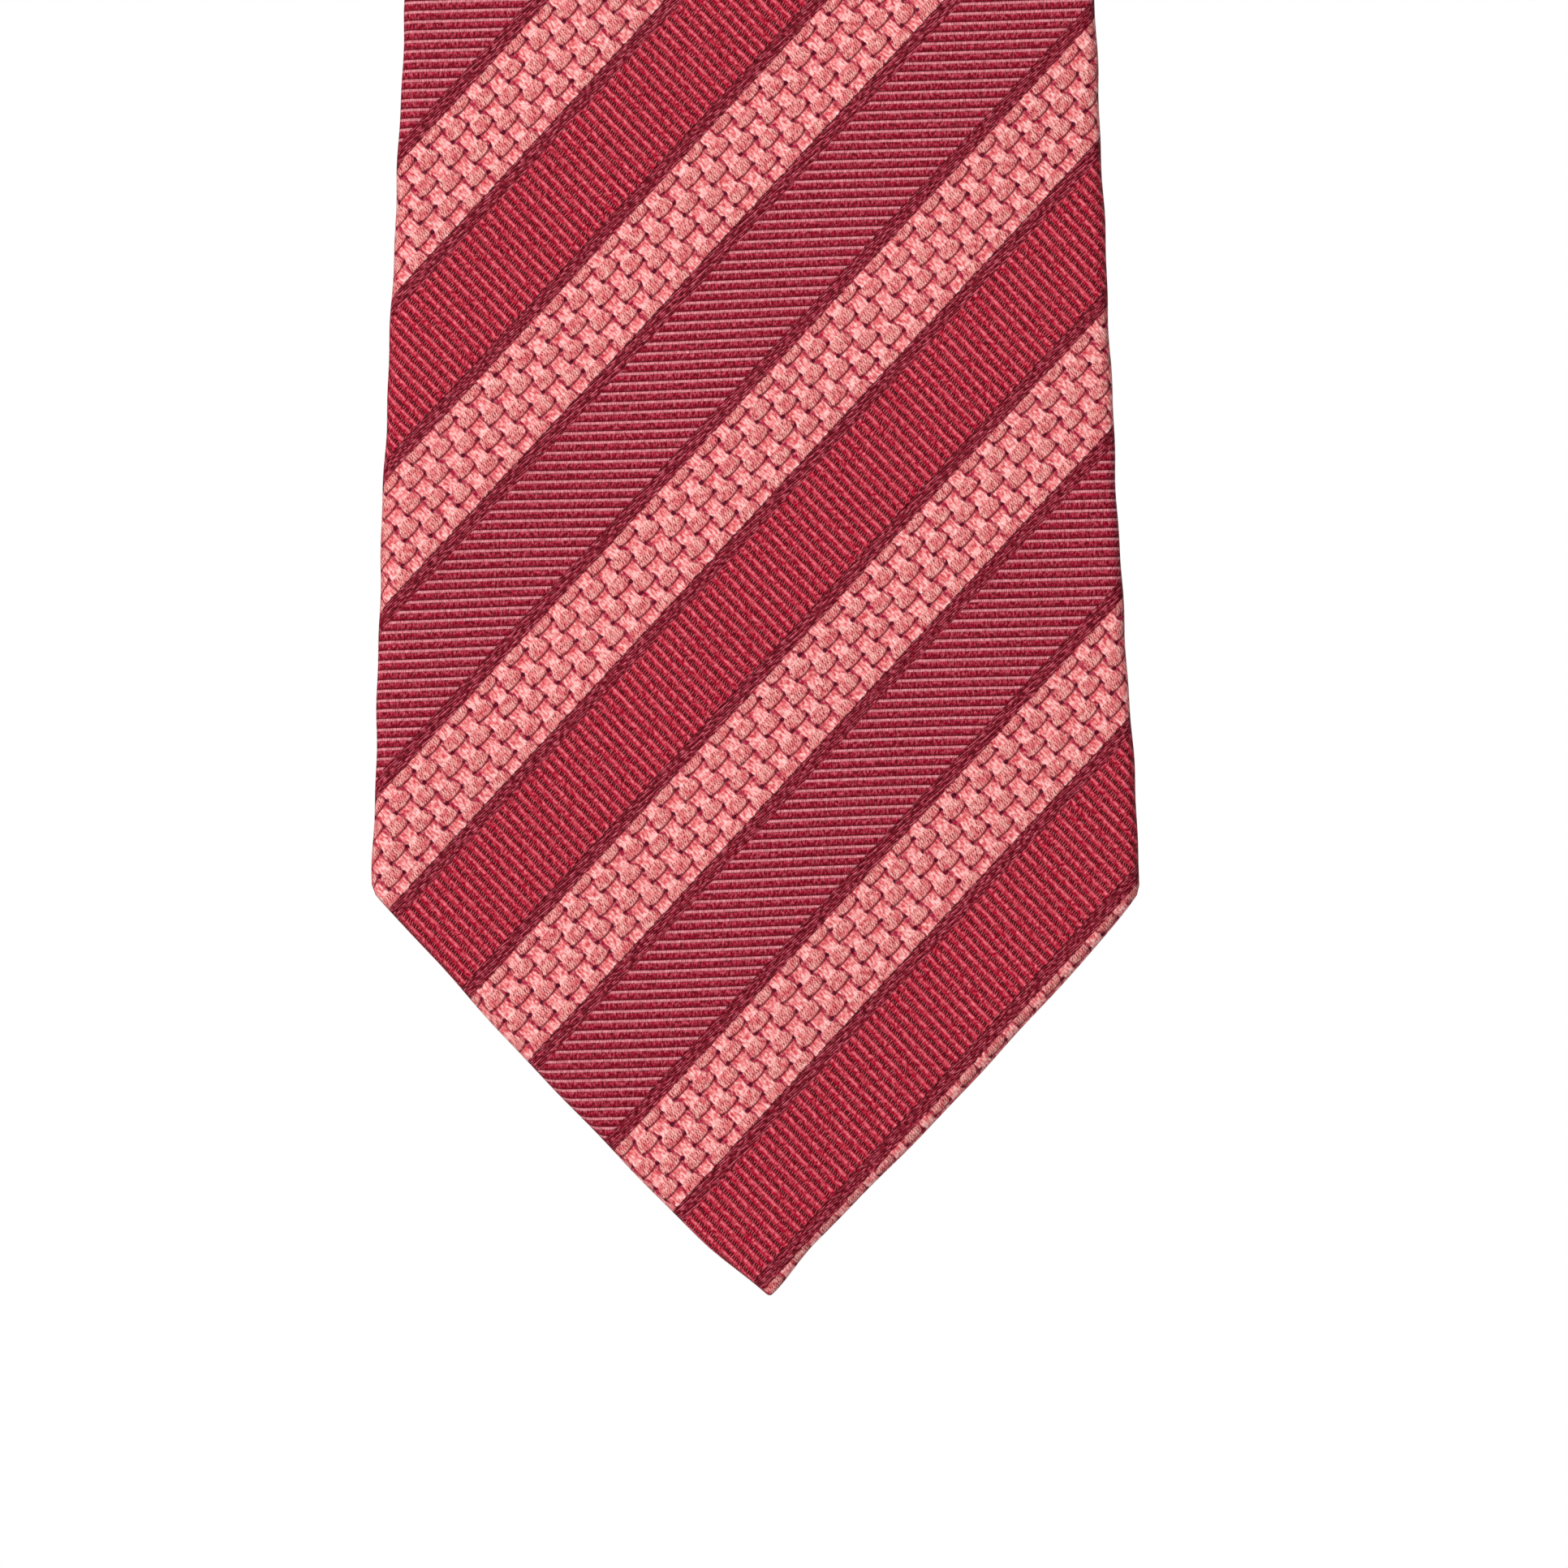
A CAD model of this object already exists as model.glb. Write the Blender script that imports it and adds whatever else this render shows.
import math
import bmesh
import bpy
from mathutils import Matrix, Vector


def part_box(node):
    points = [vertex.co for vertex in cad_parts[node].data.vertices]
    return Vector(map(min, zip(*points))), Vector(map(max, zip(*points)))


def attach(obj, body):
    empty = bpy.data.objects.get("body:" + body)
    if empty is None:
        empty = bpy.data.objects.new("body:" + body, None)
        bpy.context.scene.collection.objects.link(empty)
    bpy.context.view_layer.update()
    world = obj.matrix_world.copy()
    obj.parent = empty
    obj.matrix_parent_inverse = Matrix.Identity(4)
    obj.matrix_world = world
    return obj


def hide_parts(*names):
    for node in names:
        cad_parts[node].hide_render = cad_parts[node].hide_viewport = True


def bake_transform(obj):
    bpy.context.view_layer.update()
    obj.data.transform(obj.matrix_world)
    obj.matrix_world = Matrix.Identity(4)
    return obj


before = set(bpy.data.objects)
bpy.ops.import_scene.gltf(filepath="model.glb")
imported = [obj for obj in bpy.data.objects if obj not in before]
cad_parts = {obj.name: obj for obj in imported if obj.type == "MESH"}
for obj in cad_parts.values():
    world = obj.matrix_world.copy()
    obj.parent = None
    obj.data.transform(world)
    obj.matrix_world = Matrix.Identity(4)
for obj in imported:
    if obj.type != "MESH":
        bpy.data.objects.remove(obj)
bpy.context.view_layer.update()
mm = 0.001
scene = bpy.context.scene

# A place on the tie is said as along (from the wide tip up the front, over the rail and down the
# back), across (from the centre line) and depth (from the face cloth towards the seam side).

bladeLow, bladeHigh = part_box("blade_end_shell")
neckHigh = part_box("neck_shell")[1]
tailLow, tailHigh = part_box("tail_shell_middle")
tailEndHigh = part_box("tail_end_shell")[1]

tie = {
    "length": 1480 * mm,
    "thickness": bladeHigh.y - bladeLow.y,
    "bladeHalf": bladeHigh.x,
    "neckHalf": neckHigh.x,
    "tailHalf": tailEndHigh.x,
    "bladeCorner": 45.6 * mm,      # from the wide tip up to the corners
    "tailPoint": 22 * mm,          # the same at the narrow end
    "neckStart": 578 * mm,
    "neckEnd": 1010 * mm,
    "tipCut": 1.6 * mm,            # the frame's tip is cut off this short
    "tipShift": 1.1 * mm,          # the wide tip's end stands this far off the centre line
    "tipReach": 6 * mm,            # over this length
    "pointShift": 0.4 * mm,        # and the whole point this far
    "lean": 0.68 * mm,             # how far the blade leans off it above the corners
    "pointBow": 0.045,             # share by which the point's edges bow outwards
    "bluntness": 0.2 * mm,
    "cornerRound": 0.45 * mm,
    "kneeRound": 1.5 * mm,
    "leaningLeg": 490 * mm,        # from the rail to just above the keeper
    "bladeSeam": 590 * mm,
    "tailSeam": 950 * mm,
    "tailJoin": 1318 * mm,         # hidden in the keeper
}

thick = tie["thickness"]
railRadius = -bladeHigh.y
tipZ = bladeLow.z - tie["tipCut"]
frontLeg = -railRadius - tipZ
midRadius = railRadius + thick / 2
tailMiddleY = (tailLow.y + tailHigh.y) / 2
leanReach = math.hypot(midRadius, tie["leaningLeg"])
leanAngle = math.acos(tailMiddleY / leanReach) - math.atan2(tie["leaningLeg"], midRadius)
foldSweep = math.pi + leanAngle
foldEnd = frontLeg + midRadius * foldSweep
plumbStart = foldEnd + tie["leaningLeg"]


def onTheRail(along, across, depth):
    radius = railRadius + thick - depth
    if along <= frontLeg:
        return Vector((across, -radius, -railRadius - (frontLeg - along)))
    turn = min((along - frontLeg) / midRadius, foldSweep)
    place = Vector((across, -radius * math.cos(turn), radius * math.sin(turn) - railRadius))
    lean = min(max(along - foldEnd, 0), tie["leaningLeg"])
    place.y -= lean * math.sin(leanAngle)
    place.z -= lean * math.cos(leanAngle)
    if along > plumbStart:
        place.y = tailMiddleY + thick / 2 - depth
        place.z = onTheRail(plumbStart, 0, thick / 2).z - (along - plumbStart)
    return place


def softMin(a, b, width):
    return (a + b - math.sqrt((a - b) ** 2 + width ** 2)) / 2


def softMax(a, b, width):
    return -softMin(-a, -b, width)


def pointHalf(distance, pointLength, half):
    blunt = tie["bluntness"]
    reach = max(distance, 0)
    bowed = 1 + 2 * tie["pointBow"] * max(0, 1 - reach / pointLength)
    return half / (pointLength * 0.985) * bowed * math.sqrt(reach * (reach + 2 * blunt))


def halfWidth(along):
    taper = (tie["bladeHalf"] - tie["neckHalf"]) / (tie["neckStart"] - tie["bladeCorner"])
    flare = (tie["tailHalf"] - tie["neckHalf"]) / (tie["length"] - tie["tailPoint"] - tie["neckEnd"])
    blade = tie["bladeHalf"] - (along - tie["bladeCorner"]) * taper
    tail = tie["neckHalf"] + (along - tie["neckEnd"]) * flare
    body = softMax(softMax(blade, tie["neckHalf"], tie["kneeRound"]), tail, tie["kneeRound"] / 3)
    bladePoint = pointHalf(along, tie["bladeCorner"], tie["bladeHalf"])
    tailPoint = pointHalf(tie["length"] - along, tie["tailPoint"], tie["tailHalf"])
    return softMin(softMin(body, bladePoint, tie["cornerRound"]), tailPoint, tie["cornerRound"])


def ease(value, low, high):
    share = min(1, max(0, (value - low) / (high - low)))
    return share * share * (3 - 2 * share)


def centreLine(along):
    # the pressed blade is never quite straight
    corner = tie["bladeCorner"]
    tip = tie["tipShift"] * (1 - ease(along, 0, tie["tipReach"]))
    point = tie["pointShift"] * (1 - ease(along, 0.8 * corner, corner))
    lean = tie["lean"] * (ease(along, corner, 2 * corner) - ease(along, 4 * corner, 8 * corner))
    return tip + point - lean


class Wire:
    # a socket that takes part in Python sums
    def __init__(self, recipe, socket):
        self.recipe = recipe
        self.socket = socket

    def math(self, operation, *others):
        return self.recipe.node("Math", {"operation": operation}, dict(enumerate((self, *others))))

    def __add__(self, other):
        return self.math("ADD", other)

    def __radd__(self, other):
        return self.math("ADD", other)

    def __sub__(self, other):
        return self.math("SUBTRACT", other)

    def __rsub__(self, other):
        return self.recipe.node("Math", {"operation": "SUBTRACT"}, {0: other, 1: self})

    def __mul__(self, other):
        return self.math("MULTIPLY", other)

    def __rmul__(self, other):
        return self.math("MULTIPLY", other)

    def __truediv__(self, other):
        return self.math("DIVIDE", other)

    def __abs__(self):
        return self.math("ABSOLUTE")


class Recipe:
    # one material, and the one way its nodes are added
    def __init__(self, name):
        self.material = bpy.data.materials.new(name)
        self.material.use_nodes = True
        self.tree = self.material.node_tree
        self.tree.nodes.clear()

    def node(self, kind, settings=None, values=None, output=0):
        made = self.tree.nodes.new("ShaderNode" + kind)
        for setting, choice in (settings or {}).items():
            setattr(made, setting, choice)
        for place, value in (values or {}).items():
            if isinstance(value, Wire):
                self.tree.links.new(value.socket, made.inputs[place])
            else:
                made.inputs[place].default_value = value
        return Wire(self, made.outputs[output]) if made.outputs else None

    def step(self, value, low, high):
        ends = {"Value": value, "From Min": low, "From Max": high}
        return self.node("MapRange", {"interpolation_type": "SMOOTHSTEP"}, ends)

    def grain(self, place, scale, detail=2.0, stretch=None):
        if stretch:
            place = self.node("VectorMath", {"operation": "MULTIPLY"}, {0: place, 1: stretch})
        values = {"Vector": place, "Scale": scale, "Detail": detail}
        return self.node("TexNoise", {"noise_dimensions": "2D"}, values)

    def colours(self, share, first, second):
        return self.node("Mix", {"data_type": "RGBA"}, {0: share, 6: first, 7: second}, 2)

    def flatPlace(self):
        # the piece's own flat-cut millimetres
        place = self.node("UVMap", {"uv_map": "flatCut"})
        scaled = self.node("VectorMath", {"operation": "SCALE"}, {0: place, "Scale": 1 / mm})
        x = self.node("SeparateXYZ", {}, {0: scaled})
        return scaled, x, Wire(self, x.socket.node.outputs[1])

    def solidPlace(self):
        place = self.node("TexCoord", {}, {}, 3)
        return self.node("VectorMath", {"operation": "SCALE"}, {0: place, "Scale": 1 / mm})

    def finish(self, colour, roughness, height=None, reach=0.1 * mm, fixed=None):
        sockets = {"Base Color": colour, "Roughness": roughness, **(fixed or {})}
        if height is not None:
            sockets["Normal"] = self.node("Bump", {}, {"Height": height, "Distance": reach})
        shader = self.node("BsdfPrincipled", {}, sockets)
        self.node("OutputMaterial", {}, {"Surface": shader})
        return self.material


def paint(red, green, blue):
    # a dye given as it looks on a screen, 0 to 255
    return (*[((c / 255 + 0.055) / 1.055) ** 2.4 if c > 10 else c / 3294 for c in (red, green, blue)], 1)


def wave(value, gap):
    # 0 to 1 and back, once every gap
    return (value * (2 * math.pi / gap)).math("SINE") * 0.5 + 0.5


def turned(x, y, degrees):
    # how far along and how far across lines that rise at this angle
    angle = math.radians(degrees)
    return x * math.cos(angle) + y * math.sin(angle), y * math.cos(angle) - x * math.sin(angle)


# The face silk, all in mm: bands at one angle, each given by where it ends, counted from the
# middle of the lined band, and the same again mirrored from the middle of the ribbed band.
silk = {
    "angle": 47.3, "repeat": 45.7, "lineMiddle": 29.3,
    "lined": 5.3, "edging": 6.85, "basket": 16.2, "ribbed": 17.7,
    "edgeSoft": 0.08,
    "swayReach": 0.5, "swayScale": 0.03, "jogReach": 0.3, "jogScale": 1.6,
    "toneReach": 0.1, "gritReach": 0.75, "gritScale": 2.4,
}
linedBand = {
    "gap": 1.067, "tilt": 2.0, "half": 0.145, "bead": 0.2, "fibre": (84, 2.4, 4.6),
    "shade": paint(88, 0, 18), "ground": paint(142, 14, 38), "lit": paint(194, 66, 86),
    "line": paint(255, 174, 180), "lineLow": paint(204, 74, 94),
}
ribbedBand = {
    "gap": 1.112, "angle": -46.0, "groove": 0.38, "stroke": 0.29, "lean": 0.29,
    "fibre": (56, 2.2, 4.4), "blotch": (-46.0, 0.7, 2.0),
    "body": paint(188, 38, 60), "bodyDark": paint(140, 6, 32), "ridge": paint(228, 98, 112),
    "dark": paint(82, 2, 16), "light": paint(206, 84, 96),
}
basketBand = {
    "gap": 4.52, "row": 1.7, "barrel": 1.2, "square": 1.44, "bead": 0.31, "beadRow": 0.5, "lean": 0.35,
    "light": paint(250, 176, 168), "mid": paint(232, 114, 118), "low": paint(146, 18, 42),
    "squareTop": paint(214, 76, 84), "squareMid": paint(236, 124, 126), "squareLow": paint(255, 188, 184),
    "between": paint(172, 44, 66), "shadow": paint(124, 14, 36),
    "plum": paint(84, 2, 34), "rose": paint(170, 34, 70),
    "fibre": (84, 1.7, 4.4), "blotch": (70, 1.0, 1.5),
    "arcBow": 0.1, "arcFoot": 0.04, "dotAside": 1.28, "lowDot": 0.12, "highDot": 0.83,
}
edgingBand = {
    "angle": 41.0, "stroke": 0.23, "fibre": (41.0, 1.3, 4.4, 2.0),
    "dark": paint(72, 0, 12), "mid": paint(132, 22, 40), "light": paint(212, 98, 116),
}


def fibres(r, x, y, degrees, lengthScale, crossScale, detail=1.0):
    # 0 to 1 noise drawn out along one direction, as threads lie; a band gives its own as
    # angle, how fine lengthwise and how fine across
    lengthwise, crosswise = turned(x, y, degrees)
    place = r.node("CombineXYZ", {}, {0: lengthwise * lengthScale, 1: crosswise * crossScale})
    return r.step(r.grain(place, 1.0, detail), 0.22, 0.78)


def linedWeave(r, x, y):
    # beaded lines with red cloth between, in shadow just above each and lighter just below
    lengthwise, crosswise = turned(x, y, linedBand["tilt"])
    half = linedBand["half"] / linedBand["gap"]
    up = (crosswise / linedBand["gap"]).math("FRACT")
    fromLine = up.math("PINGPONG", 0.5)
    fibre = fibres(r, x, y, *linedBand["fibre"])
    line = r.step(fromLine, half + 0.06, half - 0.05)
    bead = wave(lengthwise + fibre * 0.05, linedBand["bead"])
    ground = r.colours(r.step(up, 0.16, 0.42), linedBand["shade"], linedBand["ground"])
    ground = r.colours(r.step(up + fibre * 0.9, 0.85, 1.55), ground, linedBand["lit"])
    ground = r.colours(r.step(fibre, 0.4, 0.0) * 0.8, ground, linedBand["shade"])
    lit = r.colours(bead * 0.75 + fibre * 0.25, linedBand["lineLow"], linedBand["line"])
    return r.colours(line, ground, lit), line * (0.5 + bead * 0.3) + fibre * 0.25 - up * 0.2


def ribbedWeave(r, x, y):
    # ribs with a lit ridge, and a groove of short slanting stitches between every two
    lengthwise, crosswise = turned(x, y, ribbedBand["angle"])
    fibre = fibres(r, x, y, *ribbedBand["fibre"])
    blotch = fibres(r, x, y, *ribbedBand["blotch"])
    over = ((crosswise + fibre * 0.07) / ribbedBand["gap"]).math("FRACT")
    grooveEnd = ribbedBand["groove"]
    groove = r.step(over, 0.0, 0.07) * r.step(over, grooveEnd + 0.05, grooveEnd - 0.05)
    stroke = wave(lengthwise + crosswise * ribbedBand["lean"] + blotch * 0.1, ribbedBand["stroke"])
    top = r.colours(r.step(fibre, 0.55, 0.1) * 0.85, ribbedBand["body"], ribbedBand["bodyDark"])
    ridge = r.step(abs(over - 0.8), 0.24, 0.06)
    top = r.colours(ridge * r.step(fibre + blotch * 0.6, 0.2, 1.1), top, ribbedBand["ridge"])
    low = r.colours(r.step(stroke + fibre * 0.5 - 0.25, 0.6, 1.1), ribbedBand["dark"], ribbedBand["light"])
    height = (1 - groove) * (0.5 + ridge * 0.5) + groove * stroke * 0.3
    return r.colours(groove, top, low), height + fibre * 0.15


def basketWeave(r, u, v):
    # rows run with the stripe; in each a beaded barrel and a smooth square take turns
    rows = v / basketBand["row"]
    odd = rows.math("FLOOR").math("FLOORED_MODULO", 2)
    up = rows.math("FRACT")                                            # 0 at the row's foot, 1 at its top
    bow = (up - 0.5) * (up - 0.5)
    fibre = fibres(r, u, v, *basketBand["fibre"])
    blotch = fibres(r, u, v, *basketBand["blotch"])
    uneven = (blotch - 0.5) * 0.05 + (fibre - 0.5) * 0.02
    fromBarrel = abs((u / basketBand["gap"] + odd * 0.5 + uneven).math("FRACT") - 0.5) * basketBand["gap"]
    barrel = r.step(fromBarrel - basketBand["barrel"] + bow * 1.2, 0.1, -0.08)
    square = r.step(fromBarrel, basketBand["square"] - 0.08, basketBand["square"] + 0.08)
    brick = (v / basketBand["beadRow"]).math("FLOOR").math("FLOORED_MODULO", 2)
    brick = brick * (basketBand["bead"] / 2)                           # every other row half a bead on
    stroke = wave(u - v * basketBand["lean"] + brick + fibre * 0.1, basketBand["bead"])
    bead = stroke * (wave(v, basketBand["beadRow"]) * 0.5 + 0.5)
    lit = r.colours(blotch, basketBand["mid"], basketBand["light"])
    rough = r.colours(r.step(bead + fibre * 0.4, 0.05, 0.6), basketBand["low"], lit)
    tuck = up * 0.5 + (1 - fibre) * 0.85 + (1 - blotch) * 0.35 - 0.4
    smooth = r.colours(r.step(tuck, 0.1, 0.6), basketBand["squareLow"], basketBand["squareMid"])
    smooth = r.colours(r.step(tuck, 0.55, 1.05), smooth, basketBand["squareTop"])
    between = r.colours(r.step(fibre, 0.45, 1.0), basketBand["between"], basketBand["mid"])
    colour = r.colours(square, r.colours(barrel, between, rough), smooth)
    fromArc = abs(up - fromBarrel * fromBarrel * basketBand["arcBow"] - basketBand["arcFoot"])
    arc = r.step(fromArc, 0.14, 0.03) * (1 - square)
    colour = r.colours(arc * 0.85, colour, basketBand["shadow"])
    toSide = fromBarrel - basketBand["dotAside"]
    toLow = up - basketBand["lowDot"]
    toHigh = up - basketBand["highDot"]
    aside = toSide * toSide + blotch * 0.09
    lowDot = r.step(aside + toLow * toLow * 2.6, 0.12, 0.04)
    highDot = r.step(aside + toHigh * toHigh * 2.9, 0.1, 0.03)
    colour = r.colours(highDot * 0.85, colour, basketBand["rose"])
    colour = r.colours(lowDot * 0.95, colour, basketBand["plum"])
    height = barrel * (0.9 - bow * 2.4) + square * (0.75 - up * 0.5) + bead * barrel * 0.2 - lowDot * 0.3
    return colour, height + 0.3


def edgingWeave(r, x, y):
    # plain satin strokes
    crosswise = turned(x, y, edgingBand["angle"])[1]
    fibre = fibres(r, x, y, *edgingBand["fibre"])
    value = wave(crosswise + fibre * 0.1, edgingBand["stroke"]) * 0.4 + fibre * 0.6
    colour = r.colours(r.step(value, 0.2, 0.55), edgingBand["dark"], edgingBand["mid"])
    return r.colours(r.step(value, 0.5, 1.0), colour, edgingBand["light"]), value * 0.2 - 0.5


def stripedSilk():
    r = Recipe("stripedSilk")
    straight, x, y = r.flatPlace()
    sway = (r.grain(straight, silk["swayScale"], 0.0) - 0.5) * silk["swayReach"]
    y = y + sway                                                       # the cloth is never quite square
    x = x + sway * 0.5
    place = r.node("CombineXYZ", {}, {0: x, 1: y})
    jog = (r.grain(place, silk["jogScale"], 1.0) - 0.5) * silk["jogReach"]
    u, v = turned(x, y, silk["angle"])
    fromLines = v - silk["lineMiddle"]
    band = (fromLines + jog).math("PINGPONG", silk["repeat"] / 2)
    # the basket rows are counted from each basket band's own middle
    basketMiddle = (silk["edging"] + silk["basket"]) / 2
    repeatPlace = (fromLines / silk["repeat"]).math("FRACT") * silk["repeat"]
    upperBasket = repeatPlace - basketMiddle
    lowerBasket = repeatPlace - (silk["repeat"] - basketMiddle)
    isUpper = r.step(repeatPlace, silk["repeat"] / 2 + 0.1, silk["repeat"] / 2 - 0.1)
    basketV = lowerBasket + isUpper * (upperBasket - lowerBasket)
    edging = edgingWeave(r, x, y)
    bands = [
        (edging, silk["lined"]),
        (basketWeave(r, u, basketV), silk["edging"]),
        (edging, silk["basket"]),
        (ribbedWeave(r, x, y), silk["ribbed"]),
    ]
    colour, height = linedWeave(r, x, y)
    for (nextColour, nextHeight), start in bands:
        here = r.step(band, start - silk["edgeSoft"], start + silk["edgeSoft"])
        colour = r.colours(here, colour, nextColour)
        height = height + here * (nextHeight - height)
    tone = r.grain(place, 0.05, 2.0) * silk["toneReach"]
    grit = (r.grain(place, silk["gritScale"], 1.0) - 0.5) * silk["gritReach"]
    bright = 1 - silk["toneReach"] / 2 + tone + grit
    colour = r.node("HueSaturation", {}, {"Color": colour, "Value": bright, "Saturation": 1.0 - grit * 0.4})
    fixed = {"Specular IOR Level": 0.07, "Sheen Weight": 0.02, "Sheen Roughness": 0.4}
    return r.finish(colour, 0.55 - height * 0.1, height, 0.16 * mm, fixed)


satin = {
    "twillAngle": 60, "twillGap": 0.32, "dark": paint(88, 4, 24), "light": paint(166, 38, 62),
    "creaseScale": 0.09, "creaseStretch": (1, 0.4, 1), "creaseHeight": 7,
    "slubScale": 0.7, "slubStretch": (0.12, 1.6, 1),
}


def satinLining():
    r = Recipe("satinLining")
    place, x, y = r.flatPlace()
    twill = wave(turned(x, y, satin["twillAngle"])[1], satin["twillGap"])
    creases = r.grain(place, satin["creaseScale"], 3.0, satin["creaseStretch"])
    slubs = r.step(r.grain(place, satin["slubScale"], 2.0, satin["slubStretch"]), 0.56, 0.72)
    shade = twill * 0.3 + creases * 0.6 + slubs * 0.2
    colour = r.colours(shade, satin["dark"], satin["light"])
    fixed = {"Sheen Weight": 0.3, "Sheen Roughness": 0.3, "Anisotropic": 0.4}
    height = twill * 0.1 + creases * satin["creaseHeight"]
    return r.finish(colour, 0.28 + twill * 0.1 + slubs * 0.1, height, 0.1 * mm, fixed)


wool = {"dark": paint(186, 176, 156), "light": paint(232, 226, 210), "fuzzScale": 1.1, "cloudScale": 0.12}


def brushedWool():
    r = Recipe("brushedWool")
    place = r.flatPlace()[0]
    fuzz = r.grain(place, wool["fuzzScale"], 6.0)
    cloudy = r.grain(place, wool["cloudScale"], 2.0)
    colour = r.colours(fuzz * 0.6 + cloudy * 0.4, wool["dark"], wool["light"])
    return r.finish(colour, 0.88 + fuzz * 0.1, fuzz, 0.5 * mm, {"Sheen Weight": 0.2, "Sheen Roughness": 0.6})


def wovenLabel():
    # a blank satin label with one pale line woven round it
    r = Recipe("wovenLabel")
    x, y = r.flatPlace()[1:]
    warp = wave(x + (y / 0.3).math("FLOOR").math("FLOORED_MODULO", 5) * 0.06, 0.3)
    fromSide = label["half"] / mm - abs(x)
    fromEnd = label["height"] / 2 / mm - abs(y)
    inset = abs(fromSide.math("MINIMUM", fromEnd) - label["lineInset"] / mm)
    line = r.step(inset, 0.4, 0.25) * r.step(wave(x + y, 0.5), 0.1, 0.4)
    ground = r.colours(warp * 0.7, label["dark"], label["light"])
    colour = r.colours(line, ground, label["line"])
    return r.finish(colour, 0.42 + warp * 0.12, warp * 0.6 + line, 0.06 * mm, {"Sheen Weight": 0.1})


def careTape():
    r = Recipe("careTape")
    place, x, y = r.flatPlace()
    over = wave(x, 0.34) * wave(y, 0.26)
    worn = r.grain(place, 0.4, 3.0)
    colour = r.colours(over * 0.6 + worn * 0.4, paint(222, 215, 202), paint(250, 247, 240))
    return r.finish(colour, 0.66 - over * 0.15, over, 0.05 * mm, {"Sheen Weight": 0.1})


def sewingThread():
    r = Recipe("sewingThread")
    fibre = r.node("TexNoise", {}, {"Vector": r.solidPlace(), "Scale": 4.0, "Detail": 3.0})
    colour = r.colours(fibre, paint(110, 14, 34), paint(190, 58, 78))
    return r.finish(colour, 0.45 + fibre * 0.2, fibre, 0.06 * mm, {"Sheen Weight": 0.1})


label = {
    "half": 22 * mm, "height": 28 * mm, "middle": 290 * mm, "thickness": 0.32 * mm,
    "gapBelow": 0.3 * mm, "puff": 0.35 * mm, "lineInset": 2.4 * mm, "columns": 40, "rows": 26,
    "dark": paint(40, 10, 18), "light": paint(78, 26, 38), "line": paint(214, 170, 160),
}
finishes = {
    "shell_cloth": stripedSilk(),
    "tipping": satinLining(),
    "interlining": brushedWool(),
    "label": wovenLabel(),
    "care_tape": careTape(),
    "thread": sewingThread(),
}
print("finishes mixed")

studio = {
    "viewAcross": 173.2 * mm, "viewMiddleX": 3.1 * mm, "tipBelowMiddle": 56.6 * mm,
    "cameraDistance": 1.2, "sensor": 36,
    "world": 0.15, "floorBelowTip": 0.18, "floorRadius": 1.2,
    "keyPlace": (-0.62, -1.15, tipZ + 0.85), "keySize": 0.6, "keyPower": 20,
    "rearPlace": (0.7, 1.4, tipZ + 1.0), "rearSize": 1.2, "rearPower": 16,
}


def newPiece(name, bm, material):
    mesh = bpy.data.meshes.new(name)
    bm.to_mesh(mesh)
    bm.free()
    mesh.materials.append(material)
    for polygon in mesh.polygons:
        polygon.use_smooth = True
    piece = bpy.data.objects.new(name, mesh)
    scene.collection.objects.link(piece)
    return piece


def addCamera():
    data = bpy.data.cameras.new("camera")
    data.sensor_width = studio["sensor"]
    data.lens = studio["sensor"] * studio["cameraDistance"] / studio["viewAcross"]
    camera = bpy.data.objects.new("camera", data)
    scene.collection.objects.link(camera)
    y = bladeLow.y - studio["cameraDistance"]
    camera.location = (studio["viewMiddleX"], y, tipZ + studio["tipBelowMiddle"])
    camera.rotation_euler = (math.pi / 2, 0, 0)
    scene.camera = camera


def addLamp(name, target):
    data = bpy.data.lights.new(name, "AREA")
    data.size = studio[name + "Size"]
    data.energy = studio[name + "Power"]
    lamp = bpy.data.objects.new(name, data)
    scene.collection.objects.link(lamp)
    lamp.location = studio[name + "Place"]
    lamp.rotation_euler = (Vector(target) - lamp.location).to_track_quat("-Z", "Y").to_euler()


def addWorld():
    # white behind the tie, and a dimmer white that lights it
    world = bpy.data.worlds.new("studio")
    world.use_nodes = True
    nodes, links = world.node_tree.nodes, world.node_tree.links
    nodes.clear()
    seen = nodes.new("ShaderNodeBackground")
    seen.inputs["Color"].default_value = (1, 1, 1, 1)
    lighting = nodes.new("ShaderNodeBackground")
    lighting.inputs["Color"].default_value = (1, 1, 1, 1)
    lighting.inputs["Strength"].default_value = studio["world"]
    path = nodes.new("ShaderNodeLightPath")
    mix = nodes.new("ShaderNodeMixShader")
    output = nodes.new("ShaderNodeOutputWorld")
    links.new(path.outputs["Is Camera Ray"], mix.inputs[0])
    links.new(lighting.outputs[0], mix.inputs[1])
    links.new(seen.outputs[0], mix.inputs[2])
    links.new(mix.outputs[0], output.inputs[0])
    scene.world = world


def addFloor():
    bm = bmesh.new()
    bmesh.ops.create_circle(bm, cap_ends=True, segments=96, radius=studio["floorRadius"])
    bmesh.ops.translate(bm, verts=bm.verts, vec=(0, 0, tipZ - studio["floorBelowTip"]))
    r = Recipe("paleFloor")
    cloudy = r.node("TexNoise", {}, {"Vector": r.node("TexCoord", {}, {}, 3), "Scale": 3.0})
    colour = r.colours(cloudy, (0.9, 0.9, 0.9, 1), (0.94, 0.94, 0.94, 1))
    newPiece("floor", bm, r.finish(colour, 0.8))


scene.view_settings.view_transform = "Standard"
addCamera()
addWorld()
addLamp("key", (0, bladeLow.y, tipZ + 0.1))
addLamp("rear", (0, 0, tipZ + 0.3))
addFloor()
print("studio set")


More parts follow.
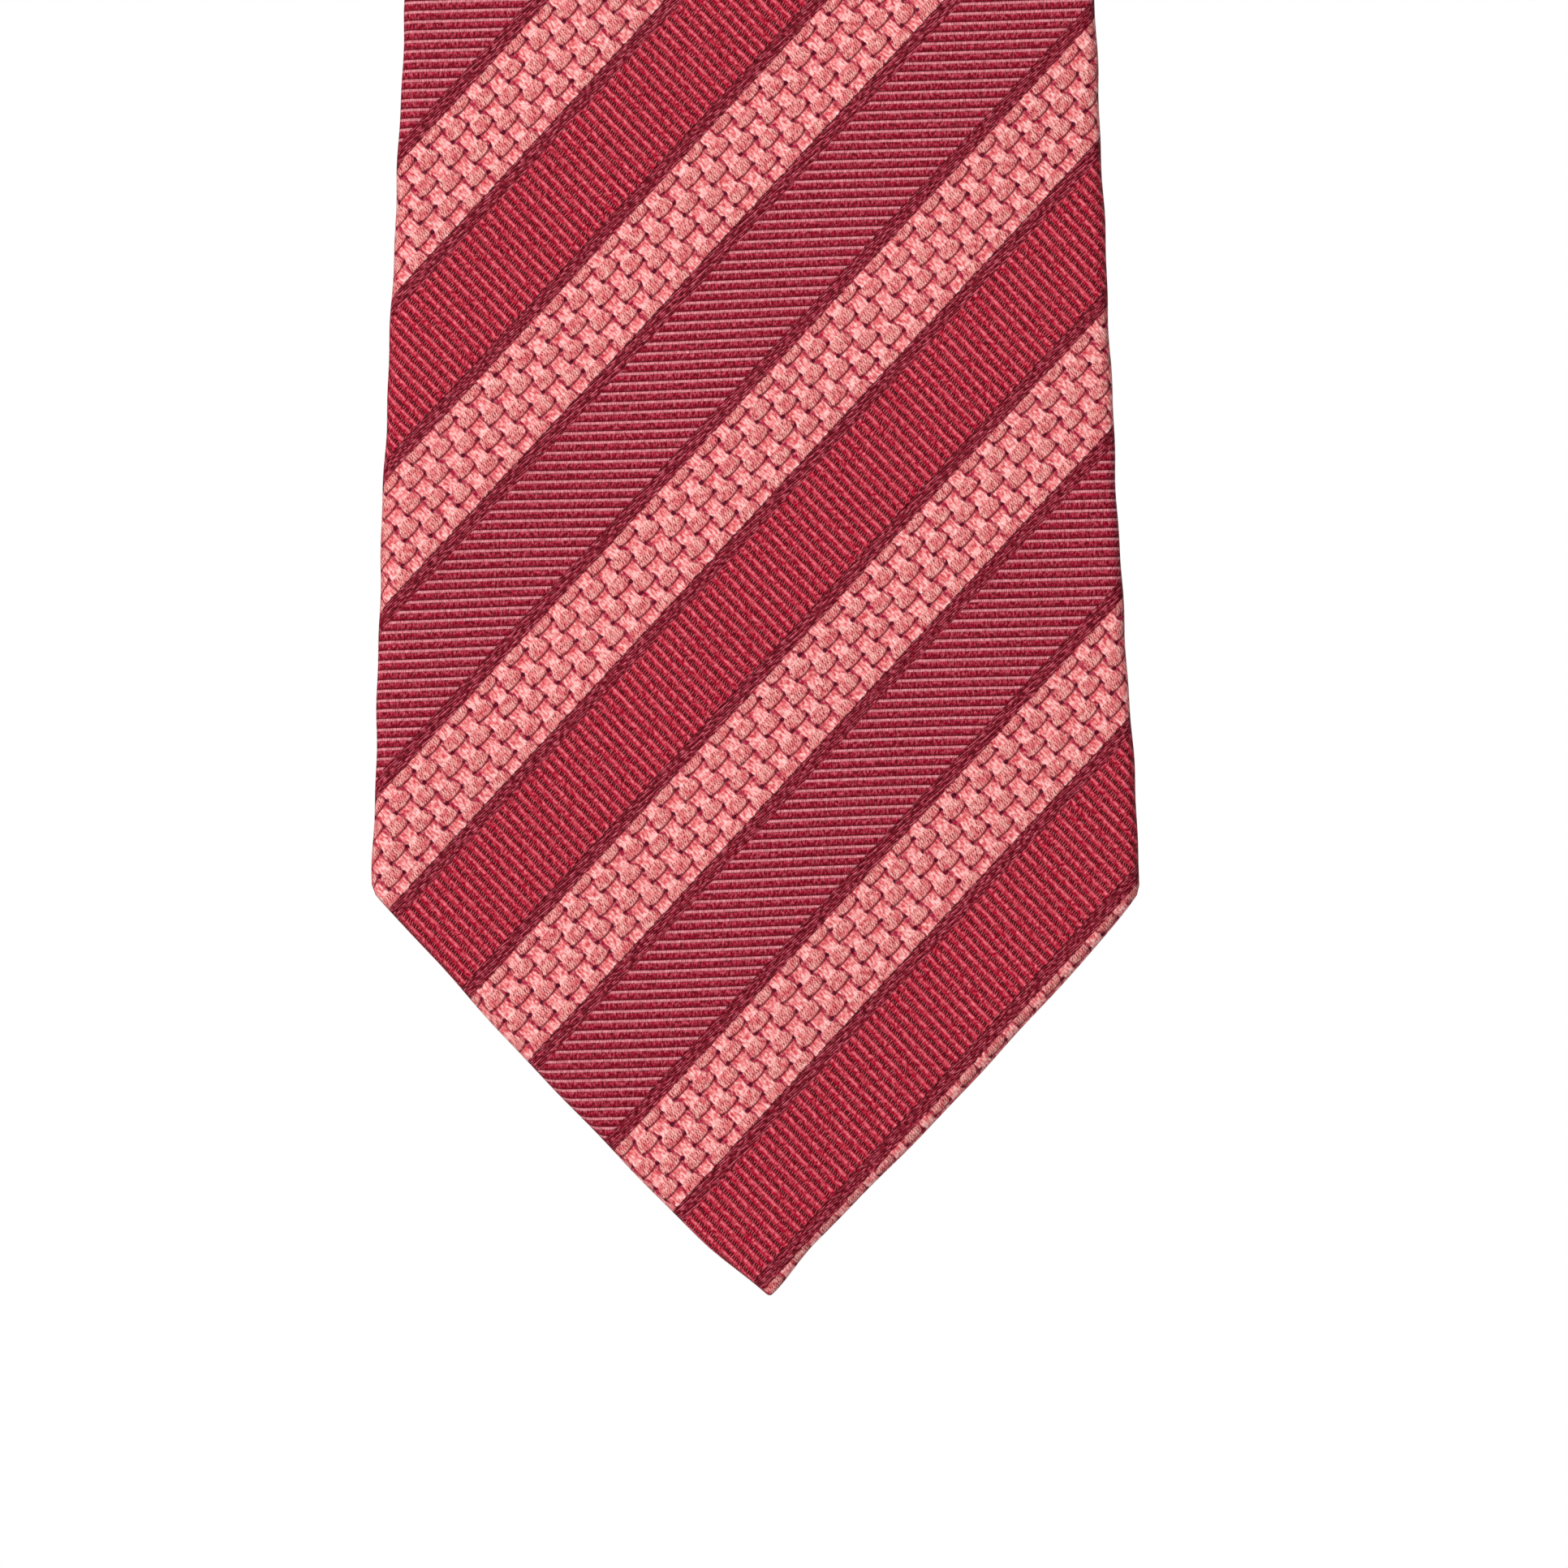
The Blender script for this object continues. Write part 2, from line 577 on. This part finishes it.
section = {
    "edge": 1.3 * mm,          # radius of the rolled edge
    "crown": 0.35 * mm,        # how far the middle stands proud of the edges
    "bladeHem": 7 * mm, "tailHem": 5 * mm,
    "bladeTack": 93 * mm, "tailTack": 1420 * mm,
    "slit": 0.3 * mm,
    "lip": 0.24 * mm,          # radius of the turned-in edge of a flap
    "turnIn": 6 * mm,
    "clothThickness": 0.36 * mm,
    "seamFade": 90 * mm, "seamDip": 0.8 * mm, "seamWidth": 1.6 * mm,
    "wander": 0.07 * mm, "wanderGap": 3.1 * mm, "uneven": 0.07 * mm, "unevenGap": 14 * mm,
    "wanderFrom": 2 * mm, "wanderFull": 12 * mm,                       # counted from the nearer tip
    "tipFade": 2.5 * mm,       # over this length the roll grows out of the tip
    "steepest": 1.1,           # no outline is taken as steeper than this
    "neckCutShift": 17 * mm, "tailCutShift": 31 * mm,                  # where each length was cut
}


def flapEdge(along):
    # how far from the centre line the inner edge of the folded-over flap runs
    half = halfWidth(along)
    toTail = tie["length"] - along
    ends = (
        (along, tie["bladeCorner"], section["bladeTack"], tie["bladeHalf"], section["bladeHem"]),
        (toTail, tie["tailPoint"], tie["length"] - section["tailTack"], tie["tailHalf"], section["tailHem"]),
    )
    for fromTip, corner, tack, full, hem in ends:
        if fromTip < corner:
            return max(section["slit"], half - hem)
        if fromTip < tack:
            share = (fromTip - corner) / (tack - corner)
            return section["slit"] + (full - hem - section["slit"]) * (1 - share)
    return section["slit"]


def edgeNormal(along):
    # the outline's outward direction, across and along
    slope = (halfWidth(along + 0.2 * mm) - halfWidth(along - 0.2 * mm)) / (0.4 * mm)
    slope = min(section["steepest"], max(-section["steepest"], slope))
    stretch = math.sqrt(1 + slope * slope)
    return 1 / stretch, -slope / stretch


def edgeWander(along, side):
    # a sewn edge on the bias is never ruled
    reach, gap = section["wander"], section["wanderGap"]
    return reach * (math.sin(along / gap + side * 1.3) + 0.7 * math.sin(along / gap * 2.27 + side * 2.1))


def unevenness(along, share):
    # the slow rise and fall of pressed cloth
    turn = along / section["unevenGap"]
    return section["uneven"] * (math.sin(turn + share * 0.9) + 0.5 * math.sin(turn * 2.6 - share * 1.7))


# columns of the cloth's grid, from the middle of the face out, round the edge and in to the slit
rightColumns = [("face", i / 30) for i in range(30)]
rightColumns += [("roll", i / 8) for i in range(8)]
rightColumns += [("flap", i / 8) for i in range(8)]
rightColumns += [("lip", i / 4) for i in range(5)]
rightColumns += [("under", 0.5), ("under", 1.0)]
columns = [(-1, *c) for c in reversed(rightColumns[1:])] + [(1, *c) for c in rightColumns]


def clothPoint(column, along, inset=0):
    # across and depth of the folded cloth, and where it lay when flat: across and along
    side, zone, share = column
    half = halfWidth(along) - inset
    nearTip = min(along, tie["length"] - along)
    tipFade = math.sqrt(min(1, max(nearTip, 0.05 * mm) / section["tipFade"]))
    edge = (section["edge"] - inset) * tipFade
    outAcross, outAlong = edgeNormal(along)
    roll = min(edge / outAcross, half * 0.7)
    flat = half - roll
    inner = min(flapEdge(along), flat * 0.92)
    middle = thick / 2
    lip = section["lip"] * tipFade
    swell = section["crown"] * min(1, half / (20 * mm)) * tipFade
    if zone == "face":
        across, depth, gone = flat * share, middle - edge, 0
    elif zone == "roll":
        angle = math.pi * share
        across = flat + roll * math.sin(angle)
        depth = middle - edge * math.cos(angle)
        gone = roll * outAcross * (angle - math.sin(angle))
    elif zone == "flap":
        across = flat + (inner - flat) * share
        depth = middle + edge
        gone = outAcross * (math.pi * roll + 2 * (flat - inner) * share)
    elif zone == "lip":
        angle = math.pi * share
        across = inner - lip * math.sin(angle)
        depth = middle + edge - lip + lip * math.cos(angle)
        gone = outAcross * (math.pi * roll + 2 * (flat - inner)) + lip * (angle + math.sin(angle))
    else:
        back = min(section["turnIn"], (flat - inner) * 0.7) * share
        across = inner + back
        depth = middle + edge - 2 * lip - 0.25 * share * tipFade * mm
        gone = outAcross * (math.pi * roll + 2 * (flat - inner)) + lip * math.pi
    bulge = max(0, 1 - (across / max(half, 1e-6)) ** 2) * swell
    depth += bulge if depth > middle else -bulge
    depth += unevenness(along, side * share if zone == "face" else side) * tipFade
    settled = ease(nearTip, section["wanderFrom"], section["wanderFull"])
    across += edgeWander(along, side) * settled * (across / max(half, 1e-6)) ** 4
    return side * across, depth, side * (across + outAcross * gone), along + outAlong * gone


def rowsBetween(start, finish, pitch):
    count = max(1, round((finish - start) / pitch))
    return [start + (finish - start) * i / count for i in range(count)]


def flatSize(piece):
    # the cut cloth's two sides and its area, from the flat-cut map
    layer = piece.data.uv_layers["flatCut"].data
    places = [Vector(loop.uv) for loop in layer]
    width = max(p.x for p in places) - min(p.x for p in places)
    length = max(p.y for p in places) - min(p.y for p in places)
    area = 0
    for polygon in piece.data.polygons:
        around = [places[i] for i in polygon.loop_indices]
        pairs = zip(around, around[1:] + around[:1])
        area += abs(sum(a.x * b.y - b.x * a.y for a, b in pairs)) / 2
    return (width, length), min(area, width * length)


def gridPiece(name, columnCount, rowCount, placeOf, material):
    # a flat grid carried into place; its uv map keeps the flat cloth's measures
    bm = bmesh.new()
    bmesh.ops.create_grid(bm, x_segments=columnCount, y_segments=rowCount, size=0.5)
    cut = {}
    for v in bm.verts:
        v.co, cut[v] = placeOf(round((v.co.x + 0.5) * columnCount), round((v.co.y + 0.5) * rowCount))
    layer = bm.loops.layers.uv.new("flatCut")
    for face in bm.faces:
        for loop in face.loops:
            loop[layer].uv = cut[loop.vert]
    return newPiece(name, bm, material)


def foldedCloth(name, alongs, cutShift, seams=()):
    def placeOf(i, j):
        column, along = columns[i], alongs[j]
        flat = clothPoint(column, along)[2]                            # a bias seam runs slanting
        inset = 0
        for seam in seams:
            gone = abs(alongs[j] - seam)
            along += flat * max(0, 1 - gone / section["seamFade"])
            inset += section["seamDip"] * max(0, 1 - gone / section["seamWidth"]) ** 2
        across, depth, flatAcross, flatAlong = clothPoint(column, along, inset)
        centre = centreLine(along)
        return onTheRail(along, across + centre, depth), (flatAcross + centre, flatAlong + cutShift)

    piece = gridPiece(name, len(columns) - 1, len(alongs) - 1, placeOf, finishes["shell_cloth"])
    thicken(piece, section["clothThickness"]).thickness_clamp = 1      # thin where the tip pinches it
    return piece


def thicken(piece, amount, offset=-1):
    solid = piece.modifiers.new("thickness", "SOLIDIFY")
    solid.thickness = amount
    solid.offset = offset
    return solid


tipRows = [d * mm for d in (0.06, 0.2, 0.45, 0.8, 1.25)]
seamRows = [d * mm for d in (1.6, 1.1, 0.7, 0.4, 0.15, 0)]
bladeSeam, tailSeam, tailJoin = tie["bladeSeam"], tie["tailSeam"], tie["tailJoin"]
bladeRows = tipRows + rowsBetween(1.8 * mm, 150 * mm, 1.15 * mm)
bladeRows += rowsBetween(150 * mm, bladeSeam - 1.7 * mm, 3 * mm) + [bladeSeam - d for d in seamRows]
neckRows = [bladeSeam + d for d in reversed(seamRows)] + rowsBetween(bladeSeam + 2 * mm, frontLeg, 3.5 * mm)
neckRows += rowsBetween(frontLeg, foldEnd, 1 * mm)
neckRows += rowsBetween(foldEnd, tailSeam - 1.7 * mm, 3.5 * mm) + [tailSeam - d for d in seamRows]
tailRows = [tailSeam + d for d in reversed(seamRows)]
tailRows += rowsBetween(tailSeam + 2 * mm, tailJoin, 3 * mm) + [tailJoin]
tailEndRows = rowsBetween(tailJoin, section["tailTack"], 2.5 * mm)
tailEndRows += rowsBetween(section["tailTack"], tie["length"] - 1.8 * mm, 1.3 * mm)
tailEndRows += [tie["length"] - d for d in reversed(tipRows)]

bladeCloth = foldedCloth("blade_cloth", bladeRows, 0, [bladeSeam])
neckCloth = foldedCloth("neck_cloth", neckRows, section["neckCutShift"], [bladeSeam, tailSeam])
tailCloth = foldedCloth("tail_cloth", tailRows, section["tailCutShift"], [tailSeam])
tailEndCloth = foldedCloth("tail_end_cloth", tailEndRows, section["tailCutShift"])
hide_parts("blade_end_shell", "blade_shell")
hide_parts("neck_shell")
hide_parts("tail_shell_upper")
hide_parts("tail_shell_middle", "tail_end_shell")
print("face cloth folded")


def strandsBetween(start, finish, pitch):
    return rowsBetween(start, finish, pitch) + [finish]


def layerSheet(name, alongs, margin, depthOf, thickness, slotName, count=16):
    # a flat layer inside the tie, this much narrower than it at each side
    def placeOf(i, j):
        along = alongs[j]
        share = i / count * 2 - 1
        half = max(0.15 * mm, halfWidth(along) - margin)
        across = half * share + centreLine(along)
        return onTheRail(along, across, depthOf(along, share)), (across, along)

    piece = gridPiece(name, count, len(alongs) - 1, placeOf, finishes[slotName])
    thicken(piece, thickness)
    return piece


lining = {
    "margin": 1.5 * mm, "depth": 0.75 * mm, "thickness": 1.1 * mm,
    "start": 5 * mm, "finish": 1475 * mm, "swell": 0.15 * mm, "swellTurns": 150,
}
tipping = {
    "margin": 1.7 * mm, "depth": 2.12 * mm, "thickness": 0.16 * mm, "start": 5 * mm, "pitch": 1.4 * mm,
    "bladeTop": 130 * mm, "tailTop": 1402 * mm,
    "pucker": 0.15 * mm, "puckerGap": 6.5 * mm, "fullness": 0.22 * mm, "sag": 0.12 * mm, "sagGap": 31 * mm,
}


def liningDepth(along, share):
    return lining["depth"] + lining["swell"] * math.sin(along * lining["swellTurns"]) * (1 - share * share)


def tippingDepth(along, share):
    # puckers where the hems pull it, slack in the middle
    inside = 1 - share * share
    ripple = math.sin((along / tipping["puckerGap"] + 0.6 * abs(share)) * 2 * math.pi)
    ripple *= 4 * share * share * inside
    sag = math.sin((along / tipping["sagGap"] + 0.35 * share) * 2 * math.pi) * inside
    full = tipping["depth"] + tipping["fullness"] * inside
    return full + tipping["pucker"] * ripple + tipping["sag"] * sag


curvedRows = strandsBetween(frontLeg, foldEnd, 1 * mm)
straightUp = strandsBetween(lining["start"], frontLeg - 5 * mm, 5 * mm)
bladeLining = layerSheet(
    "blade_lining", straightUp + curvedRows + strandsBetween(foldEnd + 5 * mm, tailSeam - 0.4 * mm, 5 * mm),
    lining["margin"], liningDepth, lining["thickness"], "interlining")
tailLining = layerSheet(
    "tail_lining", strandsBetween(tailSeam + 0.4 * mm, tailJoin, 5 * mm),
    lining["margin"], liningDepth, lining["thickness"], "interlining")
tailEndLining = layerSheet(
    "tail_end_lining", strandsBetween(tailJoin, lining["finish"], 4 * mm),
    lining["margin"], liningDepth, lining["thickness"], "interlining")
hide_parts("blade_end_interlining", "blade_interlining")
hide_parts("tail_interlining_upper")
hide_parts("tail_interlining_middle", "tail_end_interlining")

bladeTipping = layerSheet(
    "blade_tipping_satin", strandsBetween(tipping["start"], tipping["bladeTop"], tipping["pitch"]),
    tipping["margin"], tippingDepth, tipping["thickness"], "tipping", 48)
tailTipRows = strandsBetween(tipping["tailTop"], tie["length"] - tipping["start"], tipping["pitch"])
tailTipping = layerSheet(
    "tail_tipping_satin", tailTipRows,
    tipping["margin"], tippingDepth, tipping["thickness"], "tipping", 32)
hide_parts("blade_tipping")
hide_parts("tail_tipping")
print("layers laid in")

keeper = {
    "middle": 240 * mm, "height": 13 * mm, "thickness": 0.8 * mm, "insideHalf": 25 * mm,
    "foot": 5.2 * mm, "corner": 2.6 * mm, "sag": 0.08 * mm, "steps": 72, "rows": 12,
    "footTurn": 0.7 * mm, "footGap": 0.05 * mm, "wall": 4.5 * mm, "footTrim": 0.1 * mm,
    "cutShift": 9 * mm, "rounding": 0.3 * mm,
}
keeperLow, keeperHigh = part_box("keeper_loop")


def keeperPath(distance):
    # x and y of the loop's inner face, from its middle outwards
    corner = keeper["corner"] - keeper["thickness"]
    backY = keeperHigh.y - keeper["thickness"]
    footY = keeperLow.y + keeper["footGap"]
    top = keeper["insideHalf"] - corner
    if distance < top:
        sag = keeper["sag"] * math.cos(distance / top * math.pi / 2)
        return distance, backY - sag
    distance -= top
    bend = corner * math.pi / 2
    if distance < bend:
        angle = distance / corner
        return top + corner * math.sin(angle), backY - corner + corner * math.cos(angle)
    distance -= bend
    turn = keeper["footTurn"]
    fall = backY - corner - footY - turn
    if distance < fall:
        return keeper["insideHalf"], backY - corner - distance
    distance -= fall
    if distance < turn * math.pi / 2:
        angle = distance / turn
        return keeper["insideHalf"] + turn - turn * math.cos(angle), footY + turn - turn * math.sin(angle)
    return keeper["insideHalf"] + turn + distance - turn * math.pi / 2, footY


def keeperPlace(i, j):
    corner = keeper["corner"] - keeper["thickness"]
    reach = keeper["insideHalf"] - corner + corner * math.pi / 2 + keeper["wall"]
    reach = reach + keeper["foot"] - keeper["footTrim"]
    spread = (i / keeper["steps"] * 2 - 1) * reach
    up = (j / keeper["rows"] - 0.5) * keeper["height"]
    x, y = keeperPath(abs(spread))
    z = onTheRail(keeper["middle"], 0, 0).z + up
    return Vector((math.copysign(x, spread), y, z)), (spread, up + keeper["middle"] + keeper["cutShift"])


keeperLoop = gridPiece("keeper_band", keeper["steps"], keeper["rows"], keeperPlace, finishes["shell_cloth"])
thicken(keeperLoop, keeper["thickness"], 1)
rounding = keeperLoop.modifiers.new("rounding", "BEVEL")
rounding.width = keeper["rounding"]
rounding.segments = 3
rounding.limit_method = "ANGLE"
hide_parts("keeper_loop")
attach(keeperLoop, "neck_and_blade")


def labelPlace(i, j):
    # across and up run from -1 to 1
    across = i / label["columns"] * 2 - 1
    up = j / label["rows"] * 2 - 1
    puff = label["puff"] * (1 - across ** 4) * (1 - up ** 4)
    puff *= 0.7 + 0.3 * math.cos(across * 7) * math.cos(up * 4)
    x, y = across * label["half"], up * label["height"] / 2
    return onTheRail(label["middle"] + y, x, thick + label["gapBelow"] + puff), (x, y)


makerLabel = gridPiece("maker_label_satin", label["columns"], label["rows"], labelPlace, finishes["label"])
thicken(makerLabel, label["thickness"], 1)
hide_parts("maker_label")
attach(makerLabel, "neck_and_blade")

careLabel = {
    "middle": 73 * mm, "half": 5.5 * mm, "height": 22 * mm, "depth": 2.9 * mm, "thickness": 0.22 * mm,
    "curl": 0.35 * mm, "columns": 12, "rows": 24,
}


def carePlace(i, j):
    # its free lower end curls away
    across = i / careLabel["columns"] * 2 - 1
    up = j / careLabel["rows"] * 2 - 1
    lift = careLabel["curl"] * (0.5 - up / 2) ** 2 * (1 + 0.4 * across)
    x, y = across * careLabel["half"], up * careLabel["height"] / 2
    return onTheRail(careLabel["middle"] + y, x, careLabel["depth"] + lift), (x, y)


careTag = gridPiece(
    "care_label_tape", careLabel["columns"], careLabel["rows"], carePlace, finishes["care_tape"])
thicken(careTag, careLabel["thickness"], 1)
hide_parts("care_label")
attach(careTag, "blade_end")
print("keeper and labels made")

thread = {"radius": 0.16 * mm, "stitchGap": 7 * mm, "hidden": 0.5 * mm, "proud": 0.02 * mm}


def sewnThread(name, points, radius=None):
    curve = bpy.data.curves.new(name, "CURVE")
    curve.dimensions = "3D"
    curve.bevel_depth = radius or thread["radius"]
    curve.bevel_resolution = 1
    curve.resolution_u = 3
    curve.use_fill_caps = True
    spline = curve.splines.new("NURBS")
    spline.points.add(len(points) - 1)
    for knot, place in zip(spline.points, points):
        knot.co = (*place, 1)
    spline.order_u = 3
    spline.use_endpoint_u = True
    drawn = bpy.data.objects.new(name + "_line", curve)
    scene.collection.objects.link(drawn)
    mesh = bpy.data.meshes.new_from_object(drawn.evaluated_get(bpy.context.evaluated_depsgraph_get()))
    bpy.data.objects.remove(drawn)
    mesh.name = name
    mesh.materials.clear()
    mesh.materials.append(finishes["thread"])
    for polygon in mesh.polygons:
        polygon.use_smooth = True
    piece = bpy.data.objects.new(name, mesh)
    scene.collection.objects.link(piece)
    return piece


def slipStitch(start, finish):
    # one thread up the seam that crosses the slit in small slanting stitches
    points = []
    side = 1
    hidden, proud = thick - thread["hidden"], thick + thread["proud"]
    for along in rowsBetween(start, finish, thread["stitchGap"]):
        steps = ((0, -0.8, hidden), (0.5, -0.7, proud), (1.7, 0.7, proud), (2.2, 0.8, hidden))
        points += [onTheRail(along + d * mm, side * w * mm, depth) for d, w, depth in steps]
    points.append(onTheRail(finish, 0, hidden))
    return points


tack = {
    "room": 1 * mm,            # between a bar tack's middle and the slip stitch
    "turns": 15, "half": 3.3 * mm, "lift": 0.45 * mm, "thick": 0.42 * mm, "tall": 0.6 * mm,
    "thread": 0.2 * mm, "pointsPerTurn": 8,
}
bladeStitch = sewnThread("blade_slip_thread", slipStitch(section["bladeTack"] + tack["room"], bladeSeam))
neckStitch = sewnThread("neck_slip_thread", slipStitch(bladeSeam, tailSeam))
tailStitch = sewnThread("tail_slip_thread", slipStitch(tailSeam, tailJoin))
tailEndStitch = sewnThread("tail_end_slip_thread", slipStitch(tailJoin, section["tailTack"] - tack["room"]))
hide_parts("blade_end_slip_stitch", "blade_slip_stitch")
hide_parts("neck_slip_stitch")
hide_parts("tail_slip_stitch_upper")
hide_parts("tail_slip_stitch_middle", "tail_end_slip_stitch")


def barTack(name, along, node, body):
    # a bar of close wraps across the point of the v
    count = tack["turns"] * tack["pointsPerTurn"]
    points = []
    for i in range(count + 1):
        angle = i / tack["pointsPerTurn"] * 2 * math.pi
        across = (i / count * 2 - 1) * tack["half"]
        depth = thick + tack["lift"] + tack["thick"] * math.sin(angle)
        points.append(onTheRail(along + tack["tall"] * math.cos(angle), across, depth))
    piece = sewnThread(name, points, tack["thread"])
    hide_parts(node)
    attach(piece, body)


barTack("blade_bar_tack_thread", section["bladeTack"], "blade_bar_tack", "blade_end")
barTack("tail_bar_tack_thread", section["tailTack"], "tail_bar_tack", "tail_end")


whip = {"radius": 0.17 * mm, "belowTop": 0.25 * mm, "belowFoot": 0.2 * mm, "bite": 0.3 * mm}


def whipStitch(name, node, turns):
    # loops over the outer edge of a piece that is sewn down, filling the frame's box for them
    low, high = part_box(node)
    side = math.copysign(1, low.x)
    nearX, farX = (low.x, high.x) if side > 0 else (high.x, low.x)
    points = []
    for i in range(turns):
        z = low.z + (high.z - low.z) * (i + 0.2) / turns
        nextZ = low.z + (high.z - low.z) * (i + 0.9) / turns
        topY = high.y - whip["belowTop"]
        lowY = low.y - whip["belowFoot"]
        points += [(nearX, lowY, z), (nearX + side * 0.15 * mm, topY, z)]
        points += [(farX - side * 0.5 * mm, topY, nextZ)]
        points += [(farX - side * 0.1 * mm, lowY, nextZ)]
        points += [(farX - side * 0.6 * mm, lowY - whip["bite"], nextZ)]
    piece = sewnThread(name, [Vector(p) for p in points], whip["radius"])
    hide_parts(node)
    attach(piece, "neck_and_blade")


for side in ("left", "right"):
    whipStitch("keeper_tack_thread_" + side, "keeper_tack_" + side, 7)
    for level in ("lower", "upper"):
        whipStitch(f"label_thread_{level}_{side}", f"label_stitch_{level}_{side}", 3)
print("stitches sewn")


def declareCloth(piece):
    flat, area = flatSize(piece)
    sides = [round(side / mm, 1) for side in flat]
    print(piece.name, "flat", sides, "mm, area", round(area * 1e4, 1), "cm2")


for cloth, filling in ((bladeCloth, bladeLining), (neckCloth, bladeLining),
                       (tailCloth, tailLining), (tailEndCloth, tailEndLining)):
    declareCloth(cloth)
    if cloth != neckCloth:
        declareCloth(filling)
declareCloth(bladeTipping)
declareCloth(tailTipping)
declareCloth(keeperLoop)
declareCloth(makerLabel)
declareCloth(careTag)
print("cloth declared")


def bendWith(piece):
    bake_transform(piece)


def slideWith(piece):
    # the leaning back leg gives way as the tail goes up
    top = onTheRail(tailSeam + 25 * mm, 0, thick / 2)
    low = onTheRail(plumbStart, 0, thick / 2)
    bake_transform(piece)


for piece in (bladeCloth, bladeLining, bladeStitch):
    bendWith(piece)
for piece in (tailEndCloth, tailEndLining, tailEndStitch, tailTipping):
    bendWith(piece)
for piece in (tailCloth, tailLining, tailStitch):
    slideWith(piece)
for piece in (neckCloth, neckStitch):
    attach(piece, "neck_and_blade")
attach(bladeTipping, "blade_end")
print("pieces joined to the moving parts")
